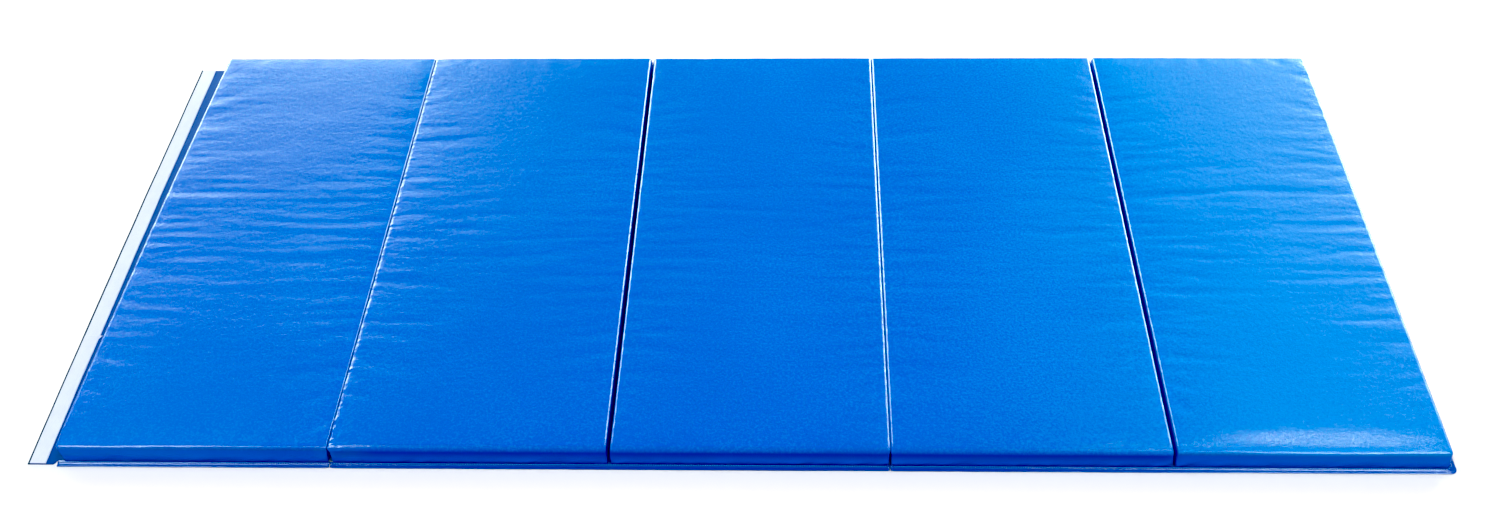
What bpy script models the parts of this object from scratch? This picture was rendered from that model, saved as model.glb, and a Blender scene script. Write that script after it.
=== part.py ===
"""A folding gym mat: five foam panels in vinyl covers, zig-zag folds and a strip flap on the left end.

Metres. +X runs along the mat from the flap end, +Y to the rear, +Z up. The origin is the middle of the
underside, on the floor.
"""

import math

import bmesh
import bpy

PANEL_COUNT = 5
MAT_LENGTH = 3.048  # 10 ft over the five panels
MAT_DEPTH = 1.524  # 5 ft, wall to wall
THICKNESS = 0.0508  # 2 in
FOLD_GAP = 0.008  # between the walls of two neighbouring panels
OUTER_WIDTH = 0.5924  # the first and last panels are a little narrower than the three between them

VINYL = 0.0006
SLIP = 0.0002  # air left between two pieces that are sewn or packed together
SHOULDER = 0.007  # radius of a cover's upper edge
CREASE_SHOULDER = 0.002  # the same, seen from above, beside a fold that closes at the top
CORNER = 0.009  # radius of a cover's upright corners
ARC_STEPS = 6

RIM = 0.014  # how far both covers run out into the perimeter seam
HEM = 0.015  # how far the binding stands out from the wall
HEM_HEIGHT = 0.0030

WEB_TAB = 0.016  # height of the part of a web that is sewn to a wall
WEB_END = 0.004  # a web stops this far short of the front and rear walls
FOLD_CLEAR = 0.0001  # a web leaf stops this far short of the fold line
AXIS_OFF = 0.00075  # a fold's axis lies this far outside the face it closes on

FLAP_REACH = 0.085  # from the wall to the flap's outer edge
FLAP_ROOT = 0.0010  # the flap's inner edge, from the wall
FLAP_SHEET = 0.0012  # two layers of vinyl
FLAP_PAST = 0.008  # how far the flap runs past the front and rear walls
STRIP_WIDTH = 0.038
STRIP_HEIGHT = 0.0015
STRIP_BORDER = 0.0025  # vinyl left showing outside the strip
STRIP_PAST = 0.006
UNDER_STRIP_END = 0.006
STRIP_JOINT = 0.404  # from the front wall to the butt joint in the strip
STRIP_JOINT_GAP = 0.0010
FLAP_AXIS_OUT = 0.0003
FLAP_AXIS_UP = 0.0032

UNDER_STRIP_IN = 0.006  # from the right wall to the strip under panel 5
UNDER_STRIP_HEIGHT = 0.0012
POCKET_END = 0.004  # from the front and rear walls to the shallow pocket that the strip sits in

HALF_L = MAT_LENGTH / 2
HALF_D = MAT_DEPTH / 2
INNER_WIDTH = (MAT_LENGTH - (PANEL_COUNT - 1) * FOLD_GAP - 2 * OUTER_WIDTH) / (PANEL_COUNT - 2)
SHEET_TOP = VINYL  # upper face of the underside sheet
RIM_LOW = VINYL + SLIP  # the underside sheet's rim
RIM_HIGH = 2 * VINYL + 2 * SLIP  # the upper cover's rim
CORE_LOW = SHEET_TOP + SLIP
CORE_HIGH = THICKNESS - VINYL - SLIP
RISER = 0.0003  # from the wall to the step that lifts the underside sheet into the seam


def material(name, color, roughness):
    mat = bpy.data.materials.new(name)
    mat.use_nodes = True
    shader = mat.node_tree.nodes["Principled BSDF"]
    shader.inputs["Base Color"].default_value = (*color, 1.0)
    shader.inputs["Roughness"].default_value = roughness
    mat.diffuse_color = (*color, 1.0)
    return mat


def add(name, bm, mat, parent=None):
    """Make bm a named object, parented without moving it."""
    bmesh.ops.recalc_face_normals(bm, faces=bm.faces)
    mesh = bpy.data.meshes.new(name)
    bm.to_mesh(mesh)
    bm.free()
    obj = bpy.data.objects.new(name, mesh)
    bpy.context.scene.collection.objects.link(obj)
    mesh.materials.append(mat)
    if parent is not None:
        obj.parent = parent
        obj.matrix_parent_inverse = parent.matrix_world.inverted()
    return obj


def pivot(name, x, z, parent=None):
    """An empty on a fold's axis, which the pieces that turn about it hang from."""
    empty = bpy.data.objects.new(name, None)
    bpy.context.scene.collection.objects.link(empty)
    empty.location = (x, 0.0, z)
    bpy.context.view_layer.update()
    if parent is not None:
        empty.parent = parent
        empty.matrix_parent_inverse = parent.matrix_world.inverted()
    bpy.context.view_layer.update()
    return empty


def box(bm, x0, x1, y0, y1, z0, z1):
    corners = [bm.verts.new((x, y, z)) for z in (z0, z1) for x, y in ((x0, y0), (x1, y0), (x1, y1), (x0, y1))]
    for face in ((3, 2, 1, 0), (4, 5, 6, 7), (0, 1, 5, 4), (1, 2, 6, 5), (2, 3, 7, 6), (3, 0, 4, 7)):
        bm.faces.new([corners[i] for i in face])


def prism(section, low, high, axis):
    """Extrude a closed section along axis "X" (points are y, z) or "Y" (points are x, z)."""
    bm = bmesh.new()
    ends = []
    for along in (low, high):
        if axis == "X":
            ends.append([bm.verts.new((along, a, z)) for a, z in section])
        else:
            ends.append([bm.verts.new((a, along, z)) for a, z in section])
    bm.faces.new(ends[0])
    bm.faces.new(ends[1][::-1])
    for i in range(len(section)):
        j = (i + 1) % len(section)
        bm.faces.new((ends[0][i], ends[0][j], ends[1][j], ends[1][i]))
    return bm


def ring(bm, x0, x1, y0, y1, radius, z):
    """A rounded rectangle of vertices, anticlockwise from above."""
    found = []
    for cx, cy, start in (
        (x1 - radius, y0 + radius, -0.5 * math.pi),
        (x1 - radius, y1 - radius, 0.0),
        (x0 + radius, y1 - radius, 0.5 * math.pi),
        (x0 + radius, y0 + radius, math.pi),
    ):
        for k in range(ARC_STEPS + 1):
            a = start + 0.5 * math.pi * k / ARC_STEPS
            found.append(bm.verts.new((cx + radius * math.cos(a), cy + radius * math.sin(a), z)))
    return found


def loft(bm, rings):
    bm.faces.new(rings[0][::-1])
    bm.faces.new(rings[-1])
    for low, high in zip(rings, rings[1:]):
        for i in range(len(low)):
            j = (i + 1) % len(low)
            bm.faces.new((low[i], low[j], high[j], high[i]))


def shell_rings(bm, x0, x1, inset, z0, z1, creases):
    """Rings up the outside of a panel: straight walls, then a rounded shoulder, held inset inside the cover's outer face."""
    shoulder = SHOULDER - inset
    left = (CREASE_SHOULDER if creases[0] else SHOULDER) - inset
    right = (CREASE_SHOULDER if creases[1] else SHOULDER) - inset
    corner = CORNER - inset
    found = [ring(bm, x0 + inset, x1 - inset, -HALF_D + inset, HALF_D - inset, corner, z0)]
    for k in range(ARC_STEPS + 1):
        a = 0.5 * math.pi * k / ARC_STEPS
        inward = 1.0 - math.cos(a)
        found.append(
            ring(
                bm,
                x0 + inset + left * inward,
                x1 - inset - right * inward,
                -HALF_D + inset + shoulder * inward,
                HALF_D - inset - shoulder * inward,
                corner - 0.7 * shoulder * inward,
                z1 - shoulder * (1.0 - math.sin(a)),
            )
        )
    return found


def combine(obj, bm, operation, mat):
    """Join the shape in bm to obj, or cut it away, and leave a plain mesh."""
    tool = add("tool", bm, mat)
    modifier = obj.modifiers.new("combine", "BOOLEAN")
    modifier.operation = operation
    modifier.solver = "EXACT"
    modifier.object = tool
    bpy.context.view_layer.update()
    graph = bpy.context.evaluated_depsgraph_get()
    mesh = bpy.data.meshes.new_from_object(obj.evaluated_get(graph))
    obj.modifiers.clear()
    old = obj.data
    obj.data = mesh
    bpy.data.meshes.remove(old)
    mesh.name = obj.name
    bpy.data.objects.remove(tool)


def panel_sides(n):
    if n == 1:
        return -HALF_L, -HALF_L + OUTER_WIDTH
    x0 = -HALF_L + OUTER_WIDTH + FOLD_GAP + (n - 2) * (INNER_WIDTH + FOLD_GAP)
    return x0, x0 + (OUTER_WIDTH if n == PANEL_COUNT else INNER_WIDTH)


def closes_on_top(n):
    """Whether the fold between panel n and panel n + 1 has its crease at the top."""
    return n % 2 == 1


def foam_core(n, mat, parent):
    x0, x1 = panel_sides(n)
    creases = (n > 1 and closes_on_top(n - 1), n < PANEL_COUNT and closes_on_top(n))
    bm = bmesh.new()
    loft(bm, shell_rings(bm, x0, x1, VINYL + SLIP, CORE_LOW, CORE_HIGH, creases))
    core = add(f"foam_core_{n}", bm, mat, parent)
    if n == PANEL_COUNT:
        low, high = under_strip_span()
        notch = bmesh.new()
        top = UNDER_STRIP_HEIGHT + VINYL + 2 * SLIP
        box(notch, low - VINYL - 2 * SLIP, high + VINYL + 2 * SLIP, -HALF_D - 0.01, HALF_D + 0.01, -0.01, top)
        combine(core, notch, "DIFFERENCE", mat)
    return core


def top_cover(n, mat, parent):
    x0, x1 = panel_sides(n)
    creases = (n > 1 and closes_on_top(n - 1), n < PANEL_COUNT and closes_on_top(n))
    bm = bmesh.new()
    inner = shell_rings(bm, x0, x1, VINYL, CORE_LOW, THICKNESS - VINYL, creases)
    outer = shell_rings(bm, x0, x1, 0.0, CORE_LOW, THICKNESS, creases)
    loft(bm, inner[::-1] + outer)
    cover = add(f"top_cover_{n}", bm, mat, parent)
    into = 0.5 * VINYL
    right = x1 + RIM if n == PANEL_COUNT else x1 - CORNER
    left = x0 + CORNER
    for y0, y1 in ((-HALF_D - RIM, -HALF_D + into), (HALF_D - into, HALF_D + RIM)):
        rim = bmesh.new()
        box(rim, left, right, y0, y1, RIM_HIGH, RIM_HIGH + VINYL)
        combine(cover, rim, "UNION", mat)
    if n == PANEL_COUNT:
        rim = bmesh.new()
        box(rim, x1 - into, x1 + RIM, -HALF_D - into, HALF_D + into, RIM_HIGH, RIM_HIGH + VINYL)
        combine(cover, rim, "UNION", mat)
    return cover


def under_strip_span():
    x1 = panel_sides(PANEL_COUNT)[1]
    return x1 - UNDER_STRIP_IN - STRIP_WIDTH, x1 - UNDER_STRIP_IN


def bottom_cover(n, mat, parent):
    """A sheet on the floor, lifted by a small step into the seam at the front and rear."""
    x0, x1 = panel_sides(n)
    step = HALF_D + RISER
    half = [
        (step + VINYL, 0.0),
        (step + VINYL, RIM_LOW),
        (HALF_D + RIM, RIM_LOW),
        (HALF_D + RIM, RIM_LOW + VINYL),
        (step, RIM_LOW + VINYL),
        (step, SHEET_TOP),
    ]
    section = half + [(-y, z) for y, z in half[::-1]]
    if n < PANEL_COUNT:
        return add(f"bottom_cover_{n}", prism(section, x0, x1, "X"), mat, parent)
    sheet = add(f"bottom_cover_{n}", prism(section, x0, x1 + RISER + VINYL, "X"), mat, parent)
    end = bmesh.new()
    box(end, x1 + RISER, x1 + RIM, -HALF_D - RIM, HALF_D + RIM, RIM_LOW, RIM_LOW + VINYL)
    combine(sheet, end, "UNION", mat)
    low, high = under_strip_span()
    low -= SLIP
    high += SLIP
    roof = UNDER_STRIP_HEIGHT + SLIP
    reach = HALF_D - POCKET_END
    pocket = bmesh.new()
    box(pocket, low - VINYL, high + VINYL, -reach, reach, 0.0, roof + VINYL)
    combine(sheet, pocket, "UNION", mat)
    hollow = bmesh.new()
    box(hollow, low, high, -reach + VINYL, reach - VINYL, -0.01, roof)
    combine(sheet, hollow, "DIFFERENCE", mat)
    return sheet


def hem_section(sign):
    """The folded binding: a flattened C open towards the wall."""
    outer = []
    inner = []
    high = HEM_HEIGHT / 2
    for k in range(9):
        a = -0.5 * math.pi + math.pi * k / 8
        outer.append((HEM - high + high * math.cos(a), high + high * math.sin(a)))
        inner.append((HEM - high + (high - VINYL) * math.cos(a), high + (high - VINYL) * math.sin(a)))
    foot = RISER + VINYL + RISER
    section = [(foot, 0.0), *outer, (RISER, HEM_HEIGHT), (RISER, HEM_HEIGHT - VINYL), *inner[::-1], (foot, VINYL)]
    return [(sign * (HALF_D + a), z) for a, z in section]


def hems(n, mat, parent):
    x0, x1 = panel_sides(n)
    right = x1 + HEM if n == PANEL_COUNT else x1
    add(f"front_hem_{n}", prism(hem_section(-1), x0, right, "X"), mat, parent)
    add(f"rear_hem_{n}", prism(hem_section(1), x0, right, "X"), mat, parent)
    if n == PANEL_COUNT:
        section = [(HALF_L + y - HALF_D, z) for y, z in hem_section(1)]
        reach = HALF_D - RISER
        add("right_hem", prism(section, -reach, reach, "Y"), mat, parent)


def web(name, wall, fold, on_top, mat, parent):
    """One leaf of a fold's web: a tab up or down the wall, and a lip from it to the fold line."""
    way = 1.0 if fold > wall else -1.0
    a = wall + way * SLIP
    b = a + way * VINYL
    c = fold - way * FOLD_CLEAR
    if on_top:
        edge, lip, tab = THICKNESS, THICKNESS - VINYL, THICKNESS - WEB_TAB
    else:
        edge, lip, tab = 0.0, VINYL, WEB_TAB
    section = [(a, edge), (c, edge), (c, lip), (b, lip), (b, tab), (a, tab)]
    reach = HALF_D - WEB_END
    add(name, prism(section, -reach, reach, "Y"), mat, parent)


def end_flap(vinyl, strip, parent):
    outer = -HALF_L - FLAP_REACH
    reach = HALF_D + FLAP_PAST
    sheet = bmesh.new()
    box(sheet, outer, -HALF_L - FLAP_ROOT, -reach, reach, 0.0, FLAP_SHEET)
    add("flap_sheet", sheet, vinyl, parent)
    low = FLAP_SHEET + SLIP
    joint = -HALF_D + STRIP_JOINT
    reach = HALF_D + STRIP_PAST
    for name, y0, y1 in (
        ("flap_strip_front", -reach, joint - STRIP_JOINT_GAP / 2),
        ("flap_strip_rear", joint + STRIP_JOINT_GAP / 2, reach),
    ):
        bm = bmesh.new()
        box(bm, outer + STRIP_BORDER, outer + STRIP_BORDER + STRIP_WIDTH, y0, y1, low, low + STRIP_HEIGHT)
        add(name, bm, strip, parent)


def underside_strip(mat, parent):
    low, high = under_strip_span()
    reach = HALF_D - UNDER_STRIP_END
    bm = bmesh.new()
    box(bm, low, high, -reach, reach, 0.0, UNDER_STRIP_HEIGHT)
    add("underside_strip", bm, mat, parent)


def main():
    for obj in list(bpy.data.objects):
        bpy.data.objects.remove(obj, do_unlink=True)
    vinyl = material("blue_vinyl", (0.0, 0.155, 0.72), 0.32)
    foam = material("foam", (0.86, 0.87, 0.84), 0.9)
    strip = material("white_strip", (0.84, 0.84, 0.93), 0.8)

    parent = None
    for n in range(1, PANEL_COUNT + 1):
        x0, x1 = panel_sides(n)
        if n > 1:
            on_top = closes_on_top(n - 1)
            z = THICKNESS + AXIS_OFF if on_top else -AXIS_OFF
            fold = x0 - FOLD_GAP / 2
            web(f"web_{n - 1}_{n}_left", fold - FOLD_GAP / 2, fold, on_top, vinyl, parent)
            parent = pivot(f"fold_{n - 1}_{n}", fold, z, parent)
            web(f"web_{n - 1}_{n}_right", x0, fold, on_top, vinyl, parent)
        foam_core(n, foam, parent)
        top_cover(n, vinyl, parent)
        bottom_cover(n, vinyl, parent)
        hems(n, vinyl, parent)
    underside_strip(strip, parent)
    end_flap(vinyl, strip, pivot("flap_hinge", -HALF_L - FLAP_AXIS_OUT, FLAP_AXIS_UP))


main()
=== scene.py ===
"""The looks of the folding gym mat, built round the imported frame.

Metres, in the frame's own axes: +X along the mat from the flap end, +Y to the rear, +Z up.
"""

import math

import bmesh
import bpy
import numpy as np
from mathutils import Matrix, Vector


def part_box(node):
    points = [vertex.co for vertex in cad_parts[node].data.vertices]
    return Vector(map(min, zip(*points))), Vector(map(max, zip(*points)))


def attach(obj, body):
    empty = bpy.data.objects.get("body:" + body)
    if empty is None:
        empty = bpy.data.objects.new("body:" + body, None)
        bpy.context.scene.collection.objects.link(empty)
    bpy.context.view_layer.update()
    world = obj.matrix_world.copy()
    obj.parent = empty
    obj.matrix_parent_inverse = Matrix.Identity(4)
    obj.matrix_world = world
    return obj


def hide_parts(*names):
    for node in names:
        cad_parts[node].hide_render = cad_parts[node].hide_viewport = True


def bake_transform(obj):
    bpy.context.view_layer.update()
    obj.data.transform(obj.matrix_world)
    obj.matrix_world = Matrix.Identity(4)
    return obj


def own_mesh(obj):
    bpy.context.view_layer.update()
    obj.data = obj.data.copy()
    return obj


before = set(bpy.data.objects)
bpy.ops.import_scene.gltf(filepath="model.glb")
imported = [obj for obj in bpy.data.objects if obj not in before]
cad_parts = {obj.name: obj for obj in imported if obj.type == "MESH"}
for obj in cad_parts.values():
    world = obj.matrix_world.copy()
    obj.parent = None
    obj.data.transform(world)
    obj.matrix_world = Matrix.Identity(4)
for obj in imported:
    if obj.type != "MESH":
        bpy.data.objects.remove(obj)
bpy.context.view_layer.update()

MM = 0.001
PANELS = (1, 2, 3, 4, 5)
CREASED = (1, 3)  # folds n to n + 1 whose crease is at the top
CORE_INSET = 0.8 * MM  # the foam core lies this far inside the cover's outer face

BAG_LOW = 1.6 * MM  # underside of the closed cover, above the underside sheet
SHOULDER = 7.0 * MM
END_CORNER = 10.0 * MM  # radius of an upright corner at the mat's ends
FOLD_CORNER = 4.5 * MM
FLAP_END_LEAN = 13.5 * MM  # how far the flap end's top leans out at the front


# ---------------------------------------------------------------- frame sizes

def wall_span(n):
    low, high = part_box(f"foam_core_{n}")
    return low.x - CORE_INSET, high.x + CORE_INSET


WALLS = {n: wall_span(n) for n in PANELS}
HALF_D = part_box("foam_core_1")[1].y + CORE_INSET
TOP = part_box("top_cover_1")[1].z
FOLDS = {n: (WALLS[n][1] + WALLS[n + 1][0]) / 2 for n in PANELS[:-1]}
LEFT_END = WALLS[1][0]
RIGHT_END = WALLS[5][1]


# ---------------------------------------------------------------- small helpers

def smooth(t):
    t = np.clip(t, 0.0, 1.0)
    return t * t * (3 - 2 * t)


def noise(x, y, seed):
    """Smooth gradient noise on the plane, about -0.7 to 0.7, one bump to a unit."""
    angles = np.random.default_rng(seed).uniform(0, 2 * math.pi, (256, 256))
    x, y = np.broadcast_arrays(np.asarray(x, float), np.asarray(y, float))
    ix, iy = np.floor(x).astype(int), np.floor(y).astype(int)
    fx, fy = x - ix, y - iy
    wx = fx * fx * fx * (fx * (fx * 6 - 15) + 10)
    wy = fy * fy * fy * (fy * (fy * 6 - 15) + 10)

    def corner(dx, dy):
        a = angles[(ix + dx) % 256, (iy + dy) % 256]
        return np.cos(a) * (fx - dx) + np.sin(a) * (fy - dy)

    low = corner(0, 0) * (1 - wx) + corner(1, 0) * wx
    high = corner(0, 1) * (1 - wx) + corner(1, 1) * wx
    return low * (1 - wy) + high * wy


def spaced(length, fine, coarse, reach):
    """Positions from 0 to length, close together at both ends."""
    out = [0.0]
    while out[-1] < length / 2:
        out.append(out[-1] + fine + (coarse - fine) * float(smooth(out[-1] / reach)))
    half = np.array(out) * (length / 2 / out[-1])
    return np.concatenate([half, length - half[-2::-1]])


def piece(name, points, faces, mat, smoothed=True):
    mesh = bpy.data.meshes.new(name)
    mesh.from_pydata(np.asarray(points).tolist(), [], [list(map(int, f)) for f in faces])
    mesh.validate()
    bm = bmesh.new()
    bm.from_mesh(mesh)
    bmesh.ops.recalc_face_normals(bm, faces=bm.faces)
    bm.to_mesh(mesh)
    bm.free()
    mesh.polygons.foreach_set("use_smooth", [smoothed] * len(mesh.polygons))
    mesh.update()
    obj = bpy.data.objects.new(name, mesh)
    bpy.context.scene.collection.objects.link(obj)
    mesh.materials.append(mat)
    return obj


def strip_faces(loops, count, closed=True, first=0):
    """Quads between loops of count points each, stored one after another from index first."""
    faces = []
    span = count if closed else count - 1
    for k in range(loops - 1):
        a = first + k * count
        for i in range(span):
            j = (i + 1) % count
            faces.append((a + i, a + j, a + count + j, a + count + i))
    return faces


def thick_sheet(gx, gy, low, high):
    """A closed sheet over a grid of places, from heights low to heights high."""
    nx, ny = gx.shape
    under = np.stack([gx, gy, low], -1).reshape(-1, 3)
    over = np.stack([gx, gy, high], -1).reshape(-1, 3)
    above = nx * ny
    faces = []
    for i in range(nx - 1):
        for j in range(ny - 1):
            a = i * ny + j
            faces.append((a, a + 1, a + ny + 1, a + ny))
            faces.append((above + a, above + a + ny, above + a + ny + 1, above + a + 1))
    loop = [i * ny + j for i, j in rim_cells(nx, ny)]
    for a, b in zip(loop, loop[1:] + loop[:1]):
        faces.append((a, b, b + above, a + above))
    return np.concatenate([under, over]), faces


def rim_cells(nx, ny):
    """The cells round the rim of a grid, once round."""
    loop = [(i, 0) for i in range(nx)] + [(nx - 1, j) for j in range(1, ny)]
    return loop + [(i, ny - 1) for i in range(nx - 2, -1, -1)] + [(0, j) for j in range(ny - 2, 0, -1)]


# ---------------------------------------------------------------- materials

RAMP_INPUTS = ("From Min", "From Max", "To Min", "To Max")


class Tree:
    """Short names for building a material's nodes."""

    def __init__(self, name):
        self.mat = bpy.data.materials.new(name)
        self.mat.use_nodes = True
        self.nodes = self.mat.node_tree.nodes
        self.links = self.mat.node_tree.links
        self.shader = self.nodes["Principled BSDF"]
        self.place = self.node("ShaderNodeTexCoord").outputs["Object"]

    def node(self, kind, **values):
        made = self.nodes.new(kind)
        for key, value in values.items():
            setattr(made, key, value)
        return made

    def put(self, value, socket):
        if isinstance(value, bpy.types.NodeSocket):
            self.links.new(value, socket)
        elif value is not None:
            socket.default_value = value

    def math(self, operation, a, b=None, c=None):
        made = self.node("ShaderNodeMath", operation=operation)
        for value, socket in zip((a, b, c), made.inputs):
            self.put(value, socket)
        return made.outputs[0]

    def scaled(self, by):
        made = self.node("ShaderNodeVectorMath", operation="MULTIPLY")
        self.put(self.place, made.inputs[0])
        made.inputs[1].default_value = by
        return made.outputs[0]

    def noise(self, scale, detail=2.0, rough=0.5, vector=None):
        made = self.node("ShaderNodeTexNoise")
        self.put(self.place if vector is None else vector, made.inputs["Vector"])
        made.inputs["Scale"].default_value = scale
        made.inputs["Detail"].default_value = detail
        made.inputs["Roughness"].default_value = rough
        return made.outputs["Fac"]

    def ramp(self, value, low, high, out_low=0.0, out_high=1.0):
        made = self.node("ShaderNodeMapRange", interpolation_type="SMOOTHSTEP")
        self.put(value, made.inputs["Value"])
        for name, number in zip(RAMP_INPUTS, (low, high, out_low, out_high)):
            made.inputs[name].default_value = number
        return made.outputs["Result"]

    def mix(self, share, a, b):
        made = self.node("ShaderNodeMix", data_type="RGBA")
        self.put(share, made.inputs["Factor"])
        for value, socket in ((a, made.inputs[6]), (b, made.inputs[7])):
            self.put((*value, 1.0) if isinstance(value, tuple) else value, socket)
        return made.outputs[2]

    def bump(self, height, distance, normal=None):
        made = self.node("ShaderNodeBump")
        made.inputs["Distance"].default_value = distance
        self.put(height, made.inputs["Height"])
        self.put(normal, made.inputs["Normal"])
        return made.outputs["Normal"]

    def set(self, **values):
        for key, value in values.items():
            socket = self.shader.inputs[key.replace("_", " ")]
            self.put((*value, 1.0) if isinstance(value, tuple) and len(value) == 3 else value, socket)
        return self.mat


def weave(tree, pitch):
    """The height of a plain weave that shows through the coating, threads along X and Y."""
    split = tree.node("ShaderNodeSeparateXYZ")
    tree.put(tree.place, split.inputs[0])
    waves = []
    for axis in (0, 1):
        turned = tree.math("MULTIPLY", split.outputs[axis], 2 * math.pi / pitch)
        waves.append(tree.math("SINE", turned))
    return tree.math("MULTIPLY", waves[0], waves[1])


def shoulder_gloss(tree, x, y, gloss):
    """The front shoulders shine most towards the mat's ends, and at the corner beside fold 1-2."""
    dull = 0.25
    reach = tree.math("ABSOLUTE", x)
    corner = tree.math("ABSOLUTE", tree.math("ADD", x, 0.90))
    ends = tree.ramp(reach, 0.95, 1.35, dull, gloss)
    shine = tree.math("MAXIMUM", ends, tree.ramp(corner, 0.02, 0.08, gloss, dull))
    at_front = tree.ramp(y, -0.752, -0.742, 1.0, 0.0)
    lost = tree.math("MULTIPLY", at_front, tree.math("SUBTRACT", gloss, shine))
    return tree.math("SUBTRACT", gloss, lost)


def vinyl(name, deep, bright_fleck_and_sheen, rough=0.165, grain=1.0, gloss=0.8, wall=None):
    """Glossy coated fabric: a weave and a pebbled grain, with cloudy, flecked colour, and a painted sheen
    that brightens the colour towards +X.

    The side walls have painted shade and light: a darker upper part as painted shade, a lighter foot as
    painted light over the shade by the hem, and a lighter upper part on the outer panels as painted light.
    """
    tree = Tree(name)
    split = tree.node("ShaderNodeSeparateXYZ")
    tree.put(tree.place, split.inputs[0])
    x, y, z = split.outputs
    # painted sheen: the colour moves towards the bright colour along +X
    right = tree.ramp(x, 0.2, 1.5, 0.0, 0.9)
    share = tree.math("ADD", right, tree.ramp(tree.noise(2.2, 3.0, 0.55), 0.35, 0.7, -0.05, 0.12))
    fleck = tree.noise(170.0, 3.0, 0.7)
    share = tree.math("ADD", share, tree.ramp(fleck, 0.34, 0.68, -0.28, 0.46))
    color = tree.mix(tree.math("MAXIMUM", share, 0.0), deep, bright_fleck_and_sheen)
    # painted shade and light on the side walls: darker upper wall, lighter foot, lighter walls on the two end
    # panels
    if wall:
        upper_painted_shade, foot, outer = wall
        side = tree.mix(tree.ramp(tree.math("ABSOLUTE", x), 0.90, 0.95), upper_painted_shade, outer)
        side = tree.mix(tree.ramp(z, 0.006, 0.038), foot, side)
        color = tree.mix(tree.ramp(z, 0.036, 0.047), side, color)
        gloss = shoulder_gloss(tree, x, y, gloss)
    dull = tree.ramp(tree.noise(260.0, 2.0, 0.6), 0.3, 0.7, rough - 0.04, rough + 0.05)
    height = tree.math("MULTIPLY", tree.noise(420.0, 1.0, 0.5), 0.25 * grain)
    height = tree.math("ADD", height, tree.math("MULTIPLY", tree.noise(105.0, 3.0, 0.65), grain))
    normal = tree.bump(height, 0.0006)
    normal = tree.bump(weave(tree, 1.9 * MM), 0.000012, normal=normal)
    return tree.set(Base_Color=color, Roughness=dull, Normal=normal, Specular_IOR_Level=gloss)


def strip_fabric(name, color, shade):
    """A napped hook-and-loop strip: fuzzy loops over a ribbed ground."""
    tree = Tree(name)
    fuzz = tree.noise(900.0, 3.0, 0.7)
    ribs = tree.noise(60.0, 2.0, 0.5, vector=tree.scaled((6.0, 1.0, 1.0)))
    mottled = tree.noise(25.0, 4.0, 0.6)
    share = tree.math("ADD", tree.ramp(fuzz, 0.3, 0.7, 0.0, 0.3), tree.ramp(mottled, 0.3, 0.7, 0.0, 0.25))
    share = tree.math("ADD", share, tree.ramp(ribs, 0.35, 0.65, 0.0, 0.12))
    height = tree.math("ADD", fuzz, tree.math("MULTIPLY", ribs, 0.7))
    return tree.set(
        Base_Color=tree.mix(share, color, shade),
        Roughness=0.85,
        Sheen_Weight=0.35,
        Sheen_Roughness=0.5,
        Normal=tree.bump(height, 0.0009),
    )


def thread(name, color, gloss=0.5):
    """Twisted sewing thread."""
    tree = Tree(name)
    twist = tree.noise(1500.0, 1.0, 0.5)
    return tree.set(
        Base_Color=tree.mix(tree.ramp(twist, 0.35, 0.65), color, tuple(0.72 * c for c in color)),
        Roughness=0.55,
        Specular_IOR_Level=gloss,
        Normal=tree.bump(twist, 0.0002),
    )


def foam(name):
    tree = Tree(name)
    cells = tree.node("ShaderNodeTexVoronoi")
    tree.put(tree.place, cells.inputs["Vector"])
    cells.inputs["Scale"].default_value = 420.0
    share = tree.ramp(cells.outputs["Distance"], 0.0, 0.6)
    return tree.set(
        Base_Color=tree.mix(share, (0.70, 0.70, 0.66), (0.88, 0.88, 0.85)),
        Roughness=0.95,
        Normal=tree.bump(cells.outputs["Distance"], 0.0006),
    )


BLUE_DEEP = (0.000, 0.074, 0.385)
# the bright blue of the flecks and clouds, also used as painted sheen towards the right end
BLUE_BRIGHT_FLECK_AND_SHEEN = (0.000, 0.160, 0.480)
# wall colours as painted shade and light: upper wall darker, foot lighter, the end panels' walls lighter
BLUE_WALLS_SHADE_AND_LIGHT = ((0.000, 0.028, 0.385), (0.000, 0.120, 0.660), (0.000, 0.082, 0.560))
vinyl_top = vinyl("vinyl_top", BLUE_DEEP, BLUE_BRIGHT_FLECK_AND_SHEEN, wall=BLUE_WALLS_SHADE_AND_LIGHT)
vinyl_under = vinyl("vinyl_under", BLUE_DEEP, BLUE_BRIGHT_FLECK_AND_SHEEN, rough=0.42)
vinyl_hem = vinyl("vinyl_hem", (0.0, 0.028, 0.24), (0.0, 0.042, 0.28), rough=0.16, grain=0.6, gloss=0.9)
# the flap's own blue vinyl, darkened further as painted shade for the band between the wall and the strip
vinyl_flap = vinyl("vinyl_flap", (0.0, 0.030, 0.19), (0.0, 0.038, 0.23), rough=0.45, grain=0.7, gloss=0.2)
white_strip = strip_fabric("white_strip", (0.72, 0.62, 0.69), (0.60, 0.51, 0.61))
blue_thread = thread("blue_thread", (0.20, 0.44, 0.72))
white_thread = thread("white_thread", (0.60, 0.62, 0.70))
# the flap's outer edge, near black: its own dark edge and a painted shadow of the flap's thickness
dark_edge_and_shadow = thread("dark_edge_and_shadow", (0.008, 0.012, 0.035), gloss=0.08)
foam_mat = foam("foam_cells")


# ---------------------------------------------------------------- panel covers

# How far a side stands in from the wall's plane, against the drop from the top face, in mm.
ROUND = None  # a plain rounded shoulder
CREASE_MID = ((0, 4.2), (0.15, 2.4), (0.6, 0.4), (1.34, -1.2), (2.3, -2.6), (3.6, -3.6), (5.4, -3.7))
CREASE_SOFT = ((0, 5.6), (0.15, 3.6), (0.6, 1.9), (1.34, 0.5), (2.3, -0.6), (3.6, -2.0), (5.4, -3.7))
CREASE_OVER = ((0, 4.3), (0.15, 2.0), (0.6, -0.6), (1.34, -2.8), (2.3, -4.4), (3.6, -5.7), (5.4, -5.9))
CREASE_UNDER = ((0, 2.4), (0.15, 0.9), (0.6, -0.1), (1.34, -0.8), (2.3, -1.3), (3.6, -1.5), (5.4, -1.5))


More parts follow.
